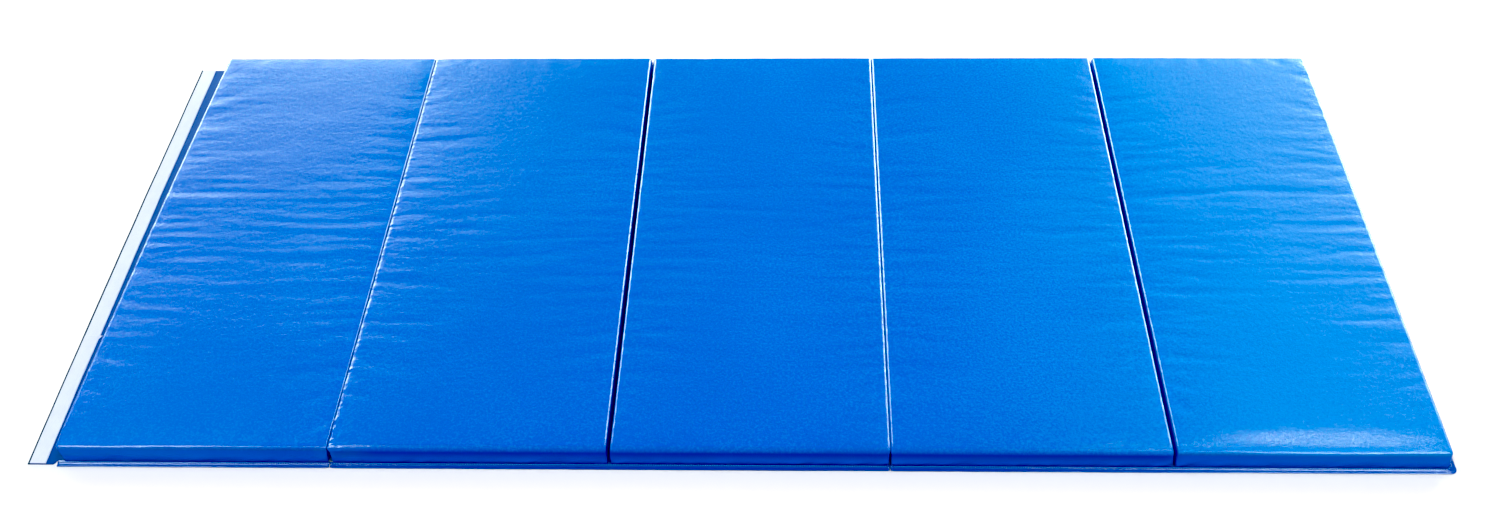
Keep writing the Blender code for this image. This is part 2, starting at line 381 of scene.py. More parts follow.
def side_inset(kind, drop, radius, foot):
    """The inset at each drop: a shoulder or crease, a slightly full wall, and a tuck into the seam."""
    mm = drop / MM
    height = (TOP - BAG_LOW) / MM
    if kind is ROUND:
        r = radius / MM
        inside = np.clip(r - mm, 0, None)
        inset = np.where(mm < r, r - np.sqrt(np.clip(r * r - inside * inside, 0, None)), 0.0)
        wall = np.clip((mm - r) / (height - r), 0, 1)
        inset = inset - 0.7 * np.sin(math.pi * wall) * smooth(wall * 4)
    else:
        inset = np.interp(mm, *zip(*kind))
        wall = np.clip((mm - 5.4) / (height - 5.4), 0, 1)
        gap = 2.0  # below the crease the wall stands this far out from its plane
        inset = inset - smooth(wall * 5) * (gap + kind[-1][1]) + wall * (foot / MM + gap)
        return inset * MM
    return (inset + foot / MM * smooth((wall - 0.72) / 0.28)) * MM


# rings of vertices down a side, close together at the crease and at the seam
DROPS = MM * np.array(
    [0.0, 0.15, 0.6, 1.34, 2.3, 3.6, 5.4, 7.0, 9.0, 12.5, 17, 22, 27, 32, 36, 39.5, 42.5, 45, 47.2, 49.2]
)


class Side:
    """One side of a cover: its profile, its corners, and whether the fold beside it closes up at the rear."""

    def __init__(self, kind=ROUND, radius=SHOULDER, foot=0.0, corner=END_CORNER, shuts=False):
        self.inset = side_inset(kind, DROPS, radius, foot)
        self.corner = corner
        self.shuts = shuts


def panel_sides(n):
    """The left and right sides of a panel's cover."""
    left = Side(corner=FOLD_CORNER, shuts=True)
    right = Side(corner=FOLD_CORNER, shuts=True)
    if n == 1:
        left = Side(radius=8.5 * MM, foot=-1.0 * MM)
        right = Side(CREASE_UNDER, foot=1.6 * MM, corner=3.0 * MM)
    if n == 2:
        left = Side(CREASE_OVER, foot=1.2 * MM, corner=3.0 * MM)
    if n == 3:
        right = Side(CREASE_MID, foot=-1.4 * MM, corner=3.0 * MM)
    if n == 4:
        left = Side(CREASE_SOFT, foot=-1.2 * MM, corner=3.0 * MM)
    if n == 5:
        right = Side()
    return left, right


def top_height(n, x, y):
    """The padded top, without its wrinkles: a slight crown that falls towards the seams."""
    x0, x1 = WALLS[n]
    u = 2 * (x - x0) / (x1 - x0) - 1
    v = y / HALF_D
    crown = 1.6 * MM * (1 - u**4) * (1 - v**6)
    fall = 0.0
    for edge in (y + HALF_D, HALF_D - y):
        fall = fall + 1.6 * np.exp(-np.clip(edge, 0, None) / 0.024)
    for edge in (x - x0, x1 - x):
        fall = fall + 0.7 * np.exp(-np.clip(edge, 0, None) / 0.014)
    if n == 2:  # pulled down along the crease
        fall = fall + 1.7 * np.exp(-np.clip(x - x0, 0, None) / 0.06) * smooth((y + HALF_D) / 0.9)
    if n in (1, 5):  # a slack hollow behind the front edge
        middle, half = (0.10, 0.09) if n == 1 else (0.315, 0.20)
        hollow = np.exp(-(((y + HALF_D - 0.022) / 0.030) ** 2)) * np.exp(-((((x - x0) - middle) / half) ** 2))
        fall = fall + (2.6 if n == 1 else 4.6) * hollow
    if n == 5:
        fall = fall + 2.5 * smooth((x - x0 - 0.05) / 0.58) * smooth((y - HALF_D + 0.35) / 0.40)
    rolling = 0.8 * MM * noise(x / 0.30, y / 0.42, 40 + n) + 0.35 * MM * noise(x / 0.13, y / 0.10, 50 + n)
    return TOP + crown - 0.9 * MM * fall + rolling


def blurred(grid, cells):
    """A grid smoothed over this many cells, as if it went on past its edges turned over."""
    reach = int(3 * cells)
    weight = np.exp(-0.5 * (np.arange(-reach, reach + 1) / cells) ** 2)
    weight /= weight.sum()
    for axis in (0, 1):
        edges = [(reach, reach) if axis == k else (0, 0) for k in (0, 1)]
        padded = np.pad(grid, edges, mode="reflect", reflect_type="odd")
        grid = np.apply_along_axis(lambda row: np.convolve(row, weight, "valid"), axis, padded)
    return grid


def slack_cloth(n, nx=52, ny=128, frames=20):
    """Heights of the wrinkles in a slack sheet sewn down all round a panel's top, from a cloth simulation."""
    x0, x1 = WALLS[n]
    gx, gy = np.meshgrid(np.linspace(x0, x1, nx), np.linspace(-HALF_D, HALF_D, ny), indexing="ij")
    start = 0.6 * MM * np.random.default_rng(200 + n).standard_normal(gx.shape)
    corners = [i * ny + j for i in range(nx - 1) for j in range(ny - 1)]
    faces = [(a, a + ny, a + ny + 1, a + 1) for a in corners]
    mesh = bpy.data.meshes.new("slack")
    mesh.from_pydata(np.stack([gx, gy, start], -1).reshape(-1, 3).tolist(), [], faces)
    sheet = bpy.data.objects.new("slack", mesh)
    bpy.context.scene.collection.objects.link(sheet)
    rim = np.zeros((nx, ny), bool)
    rim[[0, -1], :] = rim[:, [0, -1]] = True
    sewn = sheet.vertex_groups.new(name="sewn")
    sewn.add(np.nonzero(rim.ravel())[0].tolist(), 1.0, "REPLACE")
    cloth = sheet.modifiers.new("cloth", "CLOTH")
    cloth.settings.quality = 4
    cloth.settings.mass = 0.4
    cloth.settings.tension_stiffness = 30
    cloth.settings.compression_stiffness = 30
    cloth.settings.shear_stiffness = 10
    cloth.settings.bending_stiffness = 0.3
    cloth.settings.vertex_group_mass = "sewn"
    cloth.settings.use_pressure = True
    cloth.settings.uniform_pressure_force = 6.0
    cloth.settings.shrink_min = -0.004
    cloth.settings.effector_weights.gravity = 0
    cloth.collision_settings.use_collision = False
    cloth.point_cache.frame_start = 1
    cloth.point_cache.frame_end = frames
    for k in range(1, frames + 1):
        bpy.context.scene.frame_set(k)
    settled = sheet.evaluated_get(bpy.context.evaluated_depsgraph_get())
    made = settled.to_mesh()
    points = np.empty(len(made.vertices) * 3)
    made.vertices.foreach_get("co", points)
    settled.to_mesh_clear()
    bpy.data.objects.remove(sheet)
    heights = points.reshape(nx, ny, 3)[:, :, 2]
    return blurred(heights, 0.7) - blurred(heights, 4.0)  # the bulge is the foam's, not the sheet's


CLOTH = {n: slack_cloth(n) for n in PANELS}
bpy.context.scene.frame_set(1)


def cloth_height(n, x, y):
    """The cloth's wrinkles at points on a panel's top, read off the grid by cubic interpolation."""
    grid = CLOTH[n]
    x0, x1 = WALLS[n]
    fx = np.clip((x - x0) / (x1 - x0), 0, 1) * (grid.shape[0] - 1)
    fy = np.clip((y + HALF_D) / (2 * HALF_D), 0, 1) * (grid.shape[1] - 1)
    ix, iy = np.floor(fx).astype(int), np.floor(fy).astype(int)

    def weights(t):
        inner = (2 - 5 * t**2 + 3 * t**3) / 2, (t + 4 * t**2 - 3 * t**3) / 2
        return (-t + 2 * t**2 - t**3) / 2, *inner, (t**3 - t**2) / 2

    total = 0.0
    for a, wx in zip((-1, 0, 1, 2), weights(fx - ix)):
        for b, wy in zip((-1, 0, 1, 2), weights(fy - iy)):
            i = np.clip(ix + a, 0, grid.shape[0] - 1)
            j = np.clip(iy + b, 0, grid.shape[1] - 1)
            total = total + wx * wy * grid[i, j]
    most = {1: 0.9, 5: 0.8}.get(n, 0.6) * MM
    return most * np.tanh(total * {1: 0.5, 5: 0.7}.get(n, 0.5) / most)


def wrinkles(n, x, y):
    """How far the vinyl's wrinkles stand off the padded top."""
    x0, x1 = WALLS[n]
    left, right = x - x0, x1 - x
    rear, front = HALF_D - y, y + HALF_D
    total = 0.10 * MM * noise(x / 0.050, y / 0.018, 60 + n) + cloth_height(n, x, y)
    # drawn-in ripples that run square to the long sides
    drawn = noise(x / 0.26 + 3.1 * n, y / 0.036, 70 + n)
    fine = noise(x / 0.15, y / 0.019, 80 + n)
    for edge, strength in ((left, 0.65 if n == 2 else 1.0), (right, 0.45 if n == 5 else 0.7)):
        near = np.exp(-np.clip(edge, 0, None) / 0.075)
        total = total + strength * MM * near * (0.5 * drawn + 0.2 * fine)
    across = noise(x / 0.034, y / 0.20, 90 + n)
    for edge in (front, rear):
        near = np.exp(-np.clip(edge, 0, None) / 0.05)
        total = total + 0.3 * MM * near * across
    if n == 1:
        rows = smooth((y + 0.35) / 0.3)
        near = np.exp(-((np.clip(left, 0, None) / 0.15) ** 2))
        pulls = noise(x / 0.16, y / 0.028, 101)
        raised = np.clip(noise(x / 0.22, y / 0.045, 102), 0, None)
        total = total + rows * near * MM * (0.8 * pulls + 0.7 * raised)
    return total


def puckers(n, x, y):
    """Short gathers in a shoulder, where the vinyl is sewn down."""
    x0, x1 = WALLS[n]
    total = np.zeros_like(x)
    gathers = noise(x / 0.05, y / 0.0105, 110 + n) + 0.8 * noise(x / 0.03, y / 0.021, 120 + n)
    if n == 2:
        total = total + 1.5 * MM * gathers * np.exp(-np.clip(x - x0 + 3 * MM, 0, None) / 0.009)
        corner = np.hypot((x - x0) / 0.075, (y + HALF_D) / 0.022)
        total = total + 1.3 * MM * noise(x / 0.012, y / 0.009, 115) * np.exp(-(corner**2))
    if n in (3, 4):
        edge = x1 - x if n == 3 else x - x0
        total = total + 0.22 * MM * gathers * np.exp(-np.clip(edge + 3 * MM, 0, None) / 0.008)
    return total


def wall_folds(n, along, drop, seed):
    """Slack in a side wall: slanting folds that gather at the seam below."""
    low = smooth((drop / MM - 20) / 22)
    slanted = along / 0.026 + drop / 0.017
    folds = noise(slanted, along / 0.11, seed) * 1.2 + 0.5 * noise(along / 0.012, drop / 0.02, seed + 1)
    return 2.5 * MM * low * folds + 0.8 * MM * noise(along / 0.16, drop / 0.03, seed + 2)


def rounded(px, py, x0, x1, y0, y1, left_r, right_r):
    """Points on a rectangle's edge moved onto its rounded corners."""
    radius = np.where(px < (x0 + x1) / 2, left_r, right_r)
    cx = np.clip(px, x0 + radius, x1 - radius)
    cy = np.clip(py, y0 + radius, y1 - radius)
    dx, dy = px - cx, py - cy
    length = np.hypot(dx, dy)
    return cx + dx / length * radius, cy + dy / length * radius, dx / length, dy / length


def cover_points(n):
    """Vertices and faces of a panel's closed cover."""
    x0, x1 = WALLS[n]
    left, right = panel_sides(n)
    ends = Side(radius=SHOULDER if n in (1, 5) else 13 * MM, foot=2.4 * MM)
    rear = Side(foot=2.4 * MM)
    lx = spaced(1.0, 0.0032, 0.020, 0.09)
    ly = spaced(1.0, 0.0012, 0.0023, 0.01)
    nx, ny = len(lx), len(ly)

    def rect(k):
        return x0 + left.inset[k], x1 - right.inset[k], -HALF_D + ends.inset[k], HALF_D - rear.inset[k]

    # the top face
    a0, a1, b0, b1 = rect(0)
    gx, gy = np.meshgrid(a0 + lx * (a1 - a0), b0 + ly * (b1 - b0), indexing="ij")
    li, lj = np.array(rim_cells(nx, ny)).T

    def corner_radii(k):
        grow = float(np.clip(1 - ends.inset[k] / SHOULDER, 0, 1))
        return [0.35 * s.corner + 0.65 * s.corner * grow for s in (left, right)]

    rx, ry, _, _ = rounded(gx[li, lj], gy[li, lj], a0, a1, b0, b1, *corner_radii(0))
    gx[li, lj], gy[li, lj] = rx, ry
    gz = top_height(n, gx, gy) + wrinkles(n, gx, gy) + puckers(n, gx, gy)
    points = [np.stack([gx, gy, gz], -1).reshape(-1, 3)]
    faces = []
    for i in range(nx - 1):
        for j in range(ny - 1):
            a = i * ny + j
            faces.append((a, a + ny, a + ny + 1, a + 1))
    ring = li * ny + lj

    # the shoulders and walls
    count = len(ring)
    first = nx * ny
    total = DROPS[-1]
    for k in range(1, len(DROPS)):
        a0, a1, b0, b1 = rect(k)
        px, py = a0 + lx[li] * (a1 - a0), b0 + ly[lj] * (b1 - b0)
        qx, qy, ox, oy = rounded(px, py, a0, a1, b0, b1, *corner_radii(k))
        base = top_height(n, qx, qy)
        pz = BAG_LOW + (base - BAG_LOW) * (1 - DROPS[k] / total)
        lean = min(1.0, DROPS[k] / SHOULDER)
        off = wrinkles(n, qx, qy) * (1 - lean) + puckers(n, qx, qy) * (1 - 0.6 * lean)
        off = off * float(DROPS[k] < 12 * MM)
        along = np.where(np.abs(oy) > np.abs(ox), qx, qy)
        seed = np.where(np.abs(oy) > np.abs(ox), 1, 2)
        slack = wall_folds(n, along + seed * 7.0 + np.sign(oy + ox) * 3.0, DROPS[k], 130 + n)
        fixed = smooth((total - DROPS[k]) / (4 * MM))
        open_side = 1.0 if n in (1, 5) else np.abs(oy)
        slack = slack * fixed * np.where((n == 1) & (ox > 0.5) | (n == 5) & (ox < -0.5), 0.0, open_side)
        if n in (1, 5):
            slack = slack * np.where(np.abs(ox) > 0.5, 0.6, 1.0)
        out = off * math.sin(lean * math.pi / 2) + slack
        for side, way in ((left, -1), (right, 1)):  # the open folds close up towards the rear
            if side.shuts:
                shut = smooth((qy - HALF_D + 0.085) / 0.05) * smooth((HALF_D - qy) / 0.004)
                shut = 2.9 * MM * shut * float(smooth((DROPS[k] / MM - 4) / 9))
                out = out + np.where(ox * way > 0.5, shut, 0.0)
        points.append(np.stack([qx + ox * out, qy + oy * out, pz + off * math.cos(lean * math.pi / 2)], -1))
        above = ring if k == 1 else first + (k - 2) * count + np.arange(count)
        below = first + (k - 1) * count + np.arange(count)
        for i in range(count):
            j = (i + 1) % count
            faces.append((above[i], below[i], below[j], above[j]))
    faces.append(tuple(first + (len(DROPS) - 2) * count + np.arange(count)))
    points = np.concatenate(points)
    if n == 1:  # the flap end isn't cut quite square: its top leans out towards the front
        x, y, z = points.T
        lean = 1 - np.clip((y + HALF_D) / (2 * HALF_D), 0, 1) ** 2.2
        points[:, 0] = x - FLAP_END_LEAN * lean * np.clip(z / TOP, 0, 1) * np.clip((x1 - x) / (x1 - x0), 0, 1)
    return points, faces


def plain_slab(x0, x1, y0, y1, z0, z1, corner, steps=5):
    """A slab with rounded upright corners and softened upper and lower edges."""
    loops = []
    soft = min(corner * 0.6, (z1 - z0) * 0.3)
    for inset, z in ((soft, z0), (0, z0 + soft), (0, z1 - soft), (soft, z1)):
        radius = corner - inset
        loop = []
        for at_x, at_y, start in ((x1, y0, -0.5), (x1, y1, 0.0), (x0, y1, 0.5), (x0, y0, 1.0)):
            cx = at_x + (-corner if at_x == x1 else corner)
            cy = at_y + (-corner if at_y == y1 else corner)
            for k in range(steps + 1):
                a = (start + 0.5 * k / steps) * math.pi
                loop.append((cx + radius * math.cos(a), cy + radius * math.sin(a), z))
        loops.append(loop)
    count = len(loops[0])
    faces = strip_faces(len(loops), count)
    faces += [tuple(range(count)), tuple(range((len(loops) - 1) * count, len(loops) * count))]
    return [p for loop in loops for p in loop], faces


for n in PANELS:
    cover = piece(f"cover_{n}", *cover_points(n), vinyl_top)
    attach(cover, f"panel_{n}")
    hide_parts(f"top_cover_{n}")
    if n < 5:  # these covers get a mesh of their own
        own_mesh(cover)
    x0, x1 = WALLS[n]
    deep = 5.5 * MM
    core_y = HALF_D - deep
    slab = plain_slab(x0 + deep, x1 - deep, -core_y, core_y, BAG_LOW + 2 * MM, TOP - deep, 8 * MM)
    core = piece(f"core_{n}", *slab, foam_mat, False)
    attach(core, f"panel_{n}")
    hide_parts(f"foam_core_{n}")


# ---------------------------------------------------------------- underside sheets

def underside(n):
    """The sheet on the floor, thinner over the strip that panel 5 carries."""
    x0, x1 = WALLS[n]
    margin = 0.8 * MM
    lx = x0 + margin + spaced(1.0, 0.01, 0.05, 0.1) * (x1 - x0 - 2 * margin)
    low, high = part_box("underside_strip")
    if n == 5:
        steps = [low.x - 0.5 * MM, low.x - 0.3 * MM, high.x + 0.3 * MM, high.x + 0.5 * MM]
        lx = np.sort(np.concatenate([lx, steps]))
    reach = HALF_D + 1.5 * MM
    ly = -reach + spaced(1.0, 0.004, 0.02, 0.05) * 2 * reach
    gx, gy = np.meshgrid(lx, ly, indexing="ij")
    low_z = 0.06 * MM * (1 + noise(gx / 0.06, gy / 0.06, 150 + n))
    if n == 5:
        over = (gx > low.x - 0.4 * MM) & (gx < high.x + 0.4 * MM)
        low_z = np.where(over, high.z + 0.05 * MM, low_z)
    return thick_sheet(gx, gy, low_z, np.full_like(gx, BAG_LOW - 0.05 * MM))


for n in PANELS:
    sheet = piece(f"underside_{n}", *underside(n), vinyl_under, False)
    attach(sheet, f"panel_{n}")
    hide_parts(f"bottom_cover_{n}")


# ---------------------------------------------------------------- fold webs

def web_sheet(half, low, high, rise, columns, reach):
    """A sheet across a fold: columns across it, one thickness, standing up by rise in the middle."""
    u = np.linspace(-1, 1, columns)
    rows = np.linspace(-reach, reach, 160)
    gu, gy = np.meshgrid(u, rows, indexing="ij")
    lift = rise * (1 - gu**2) * (1 + 0.5 * noise(gu * 0.5, gy / 0.03, 7))
    return thick_sheet(gu * half, gy, low + lift, high + lift)


for n in FOLDS:
    at = FOLDS[n]
    if n in CREASED:
        half = 0.28 * MM
        points, faces = web_sheet(half, TOP - 5.6 * MM, TOP - 5.0 * MM, 0.0, 17, HALF_D - 3 * MM)
    else:
        half = 4.0 * MM
        points, faces = web_sheet(half, 0.1 * MM, 0.7 * MM, 1.2 * MM, 21, HALF_D + 1 * MM)
    points[:, 0] += at
    web = piece(f"web_{n}_{n + 1}", points, faces, vinyl_under)
    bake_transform(web)
    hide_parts(f"web_{n}_{n + 1}_left", f"web_{n}_{n + 1}_right")


# ---------------------------------------------------------------- bound hem and its stitches

# The hem's section: how far out from the wall, and how high, in mm. A rolled bead, a tape, and its underside.
HEM_PROFILE = (
    (-2.2, 3.4), (-0.8, 3.1), (0.4, 3.1), (1.2, 3.7), (2.0, 4.6), (2.9, 5.1), (3.9, 5.1),
    (4.8, 4.6), (5.5, 3.7), (6.2, 2.9), (8.0, 2.4), (10.5, 2.1), (12.8, 1.9), (14.2, 1.6),
    (15.0, 1.1), (15.0, 0.6), (14.2, 0.15), (11.0, 0.0), (4.0, 0.0), (-1.6, 0.1), (-2.2, 1.2),
)
HEM_REACH = 15 * MM
STITCH_AWAY = 4.4 * MM  # where the stitches lie on the bead
STITCH_HIGH = 5.0 * MM


def hem_path(kind, x_from, x_to):
    """Points on the foot of the walls, with the ways outward: a front or rear run, or one round the end."""
    step = 4.0 * MM
    if kind != "end":
        sign = -1 if kind == "front" else 1
        xs = np.linspace(x_from, x_to, int((x_to - x_from) / step) + 2)
        way = np.stack([np.zeros_like(xs), np.full_like(xs, sign)], -1)
        return np.stack([xs, np.full_like(xs, sign * HALF_D)], -1), way
    radius = END_CORNER
    xs = np.linspace(x_from, RIGHT_END - radius, int((RIGHT_END - x_from) / step))
    ys = np.linspace(-HALF_D + radius, HALF_D - radius, int(2 * HALF_D / step))[1:-1]
    turn = np.linspace(0, math.pi / 2, 9)
    points = [np.stack([xs, np.full_like(xs, -HALF_D)], -1)]
    ways = [np.stack([np.zeros_like(xs), np.full_like(xs, -1)], -1)]
    for centre, start in ((-HALF_D + radius, -math.pi / 2), (HALF_D - radius, 0.0)):
        way = np.stack([np.cos(start + turn), np.sin(start + turn)], -1)
        middle = np.array([RIGHT_END - radius, centre])
        points.append((middle + radius * way)[1:])
        ways.append(way[1:])
        if start < 0:
            points.append(np.stack([np.full_like(ys, RIGHT_END), ys], -1))
            ways.append(np.stack([np.ones_like(ys), np.zeros_like(ys)], -1))
    points.append(np.stack([xs[::-1], np.full_like(xs, HALF_D)], -1)[1:])
    ways.append(np.stack([np.zeros_like(xs), np.ones_like(xs)], -1)[1:])
    return np.concatenate(points), np.concatenate(ways)


def hem_sway(points, seed):
    """The hem's slow waver, out from the wall and up off the floor."""
    along = points[:, 0] + points[:, 1] * 1.3
    out = 0.7 * MM * noise(along / 0.21, 0.0, seed) + 0.25 * MM * noise(along / 0.04, 0.5, seed)
    up = 0.5 * MM * (0.5 + noise(along / 0.16, 9.5, seed))
    return out, np.clip(up, 0, None)


def hem_run(name, kind, x_from, x_to, seed, curl):
    path, way = hem_path(kind, x_from, x_to)
    out, up = hem_sway(path, seed)
    profile = np.array(HEM_PROFILE) * MM
    count = len(profile)
    points = []
    for i in range(len(path)):
        pinch = 0.0
        for x, strength in curl:
            if abs(path[i][0] - x) < 0.03 and abs(abs(path[i][1]) - HALF_D) < 1 * MM:
                pinch += strength * math.exp(-abs(path[i][0] - x) / (5 * MM))
        for away, z in profile:
            share = np.clip(away / HEM_REACH, 0, 1)
            turned = 1 + 0.28 * (2 * abs(way[i][0] * way[i][1])) ** 2  # a squarer corner than the wall's
            d = (away + out[i] * share - 1.5 * MM * pinch * share) * (turned if away > 0 else 1)
            lift = 0.0
            if z > 0.2 * MM or pinch:  # the underside stays on the floor
                lift = up[i] * share + 1.6 * MM * pinch * share * (0.4 + share)
            thick = 1.0 + 0.25 * pinch
            points.append((path[i][0] + way[i][0] * d, path[i][1] + way[i][1] * d, z * thick + lift))
    faces = strip_faces(len(path), count)
    faces += [tuple(range(count)), tuple(range((len(path) - 1) * count, len(path) * count))]
    return piece(name, points, faces, vinyl_hem)


def stitch_row(name, centres, ways, length, mat, radius=0.42 * MM):
    """Short threads laid along ways at centres, each sunk at both ends."""
    ring = [(math.cos(a), math.sin(a)) for a in np.arange(6) * math.pi / 3]
    sections = ((-0.5, 0.25, -0.5), (-0.3, 1.0, 0.15), (0.3, 1.0, 0.15), (0.5, 0.25, -0.5))
    points = []
    faces = []
    for centre, way in zip(centres, ways):
        w = Vector(way).normalized()
        side = w.cross(Vector((0, 0, 1))).normalized()
        up = side.cross(w)
        c = Vector(centre)
        first = len(points)
        for t, r, z in sections:
            middle = c + w * (t * length) + up * (z * radius)
            for a, b in ring:
                points.append(tuple(middle + side * (a * r * radius) + up * (b * r * radius)))
        faces += strip_faces(4, 6, first=first)
        faces += [tuple(range(first + 5, first - 1, -1)), tuple(range(first + 18, first + 24))]
    return piece(name, points, faces, mat)


def resample(path, way, pitch):
    """Evenly spaced places along a path, with the outward way and the way ahead."""
    step = np.hypot(*np.diff(path, axis=0).T)
    along = np.concatenate([[0], np.cumsum(step)])
    places = np.arange(pitch, along[-1] - pitch / 2, pitch)
    at = np.stack([np.interp(places, along, path[:, i]) for i in (0, 1)], -1)
    out = np.stack([np.interp(places, along, way[:, i]) for i in (0, 1)], -1)
    return at, out, np.stack([-out[:, 1], out[:, 0]], -1)


def hem_stitches(name, kind, x_from, x_to, seed):
    path, way = hem_path(kind, x_from, x_to)
    at, out, ahead = resample(path, way, 5.2 * MM)
    sway, up = hem_sway(at, seed)
    share = STITCH_AWAY / HEM_REACH
    centres = []
    for i in range(len(at)):
        d = STITCH_AWAY + sway[i] * share
        centres.append((at[i][0] + out[i][0] * d, at[i][1] + out[i][1] * d, STITCH_HIGH + up[i] * share))
    return stitch_row(name, centres, [(a, b, 0) for a, b in ahead], 4.1 * MM, blue_thread)


F = FOLDS
END_NODES = ("front_hem_4", "front_hem_5", "rear_hem_4", "rear_hem_5", "right_hem")
HEM_RUNS = (
    ("1", "front", LEFT_END - 13 * MM, F[1] - 1.2 * MM, (1,), ("front_hem_1",)),
    ("1", "rear", LEFT_END + 1 * MM, F[1] - 1.2 * MM, (1,), ("rear_hem_1",)),
    ("2_3", "front", F[1] + 1.0 * MM, F[3] - 1.0 * MM, (2, 3), ("front_hem_2", "front_hem_3")),
    ("2_3", "rear", F[1] + 1.0 * MM, F[3] - 1.0 * MM, (2, 3), ("rear_hem_2", "rear_hem_3")),
    ("4_5", "end", F[3] + 1.0 * MM, RIGHT_END, (4, 5), END_NODES),
)
for label, kind, x_from, x_to, bodies, nodes in HEM_RUNS:
    seed = 160 + len(nodes) + bodies[0] * 3 + (kind == "rear")
    curl = [(x, s) for x, s in ((F[1], 0.8), (F[3], 0.6)) if x_from - 2 * MM < x < x_to + 2 * MM]
    hem = hem_run(f"{kind}_hem_{label}", kind, x_from, x_to, seed, curl)
    last = x_to - 4 * MM * (kind != "end")
    sewn = hem_stitches(f"{kind}_hem_stitches_{label}", kind, x_from + 4 * MM, last, seed)
    for made in (hem, sewn):
        if len(bodies) == 1:
            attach(made, f"panel_{bodies[0]}")
        else:
            left, right = (f"panel_{n}" for n in bodies)
            at = F[bodies[0]]
            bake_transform(made)
    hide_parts(*nodes)


# ---------------------------------------------------------------- end flap

FLAP_LOW, FLAP_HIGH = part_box("flap_sheet")
STRIP_LOW, STRIP_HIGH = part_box("flap_strip_rear")
FLAP_REACH = LEFT_END - FLAP_LOW.x


def flap_outer(y):
    """The flap's outer edge, a little out of true: nearer the wall at the front than at the rear."""
    bend = 2.2
    along = (y + HALF_D) / (2 * HALF_D)
    skew = 6.0 * MM - 11.0 * MM * (1 - np.exp(-bend * along)) / (1 - math.exp(-bend))
    return LEFT_END - FLAP_REACH + skew + 0.8 * MM * noise(y / 0.13, 0.5, 31)


def flap_inner(y):
    return FLAP_HIGH.x + 0 * y


def flap_lift(x, y):
    """How far the flap stands off the floor."""
    away = np.clip((LEFT_END - x) / FLAP_REACH, 0, 1)
    broad = np.clip(noise(x / 0.20, y / 0.14, 32) + 0.25, 0, None)
    fine = np.clip(noise(x / 0.05, y / 0.05, 33) + 0.2, 0, None)
    return away * MM * (1.1 * broad + 0.3 * fine)


def flap_slab(name, inner, outer, y0, y1, low, thick, mat, pitch, fuzz=0.0, seed=1, notch=0.0):
    """A sheet that follows the flap, between inner(y) and outer(y), with its top face roughened by fuzz.

    Its front corner at the wall is cut back by notch, clear of the hem.
    """
    columns = 26
    rows = np.linspace(y0, y1, int((y1 - y0) / pitch) + 2)
    gs, gy = np.meshgrid(np.linspace(0, 1, columns), rows, indexing="ij")
    gx = outer(gy) + gs * (inner(gy) - outer(gy))
    gy = gy + notch * smooth((gx - LEFT_END) / (6 * MM) + 3.7) * (y1 - gy) / (y1 - y0)
    lift = flap_lift(gx, gy)
    edge = np.minimum(np.minimum(gs, 1 - gs) * columns, 1.0)
    loops = noise(gx / (2.1 * MM), gy / (2.3 * MM), seed)
    ribs = noise(gx / (0.9 * MM), gy / (5 * MM), seed + 1)
    rough = fuzz * edge * (loops + 0.5 * ribs)
    high = low + thick * (0.75 + 0.25 * edge) + lift + rough
    return piece(name, *thick_sheet(gx, gy, low + lift, high), mat)


BORDER = 3.0 * MM
STRIP_WIDTH = STRIP_HIGH.x - STRIP_LOW.x - 1.5 * MM
sheet = flap_slab(
    "flap_vinyl", flap_inner, flap_outer, FLAP_LOW.y, FLAP_HIGH.y, 0.0, FLAP_HIGH.z,
    vinyl_flap, 5 * MM, notch=11 * MM,
)
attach(sheet, "end_flap")
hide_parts("flap_sheet")
# the flap's outer edge: a dark bead, its own dark edge and a painted shadow of the flap's thickness on the
# floor
rows = np.linspace(FLAP_LOW.y, FLAP_HIGH.y, 400)
ring = [(math.cos(t), math.sin(t)) for t in np.arange(10) * math.pi / 5]
edge_x = flap_outer(rows)
points = []
for x, y, z in zip(edge_x, rows, flap_lift(edge_x, rows)):
    points += [(x + 1.7 * MM + 3.2 * MM * c, y, 0.9 * MM + z + 1.0 * MM * s) for c, s in ring]
faces = strip_faces(len(rows), 10)
faces += [tuple(range(10)), tuple(range((len(rows) - 1) * 10, len(rows) * 10))]
bound = piece("flap_edge", points, faces, dark_edge_and_shadow)
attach(bound, "end_flap")
front_low, front_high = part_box("flap_strip_front")
strip_z = STRIP_LOW.z - 0.1 * MM
strip_thick = STRIP_HIGH.z - STRIP_LOW.z
STRIPS = (
    # label, front end, rear end, set back by, a tab at the rear end that sticks out by, seed
    ("front", front_low.y, front_high.y + 6 * MM, 0.0, 6.0 * MM, 34),
    ("rear", STRIP_LOW.y, STRIP_HIGH.y, 0.5 * MM, 0.0, 36),
)
for label, y0, y1, shift, tab, seed in STRIPS:

    def strip_outer(y, shift=shift):
        return flap_outer(y) + BORDER + shift

    def strip_inner(y, y1=y1, tab=tab, outer=strip_outer):
        return outer(y) + STRIP_WIDTH + tab * np.exp(-(((y1 - y) / (7 * MM)) ** 2))

    strip = flap_slab(
        f"flap_strip_{label}_loops", strip_inner, strip_outer, y0, y1, strip_z, strip_thick,
        white_strip, 2.2 * MM, 0.28 * MM, seed,
    )
    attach(strip, "end_flap")
    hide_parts(f"flap_strip_{label}")
    centres = []
    for y in np.arange(y0 + 5 * MM, y1 - 4 * MM, 4.6 * MM):
        for off in (2.4 * MM, STRIP_WIDTH - 2.6 * MM):
            x = float(strip_outer(y)) + off
            centres.append((x, y, strip_z + strip_thick + float(flap_lift(x, y)) - 0.05 * MM))
    ways = [(0, 1, 0)] * len(centres)
    sewn = stitch_row(f"flap_stitches_{label}", centres, ways, 3.4 * MM, white_thread, 0.38 * MM)
    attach(sewn, "end_flap")

low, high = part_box("underside_strip")
slab = plain_slab(low.x, high.x, low.y, high.y, low.z, high.z, 1.0 * MM)
gripped = piece("underside_grip", *slab, white_strip, False)
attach(gripped, "panel_5")
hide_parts("underside_strip")


# ---------------------------------------------------------------- stage, light and camera

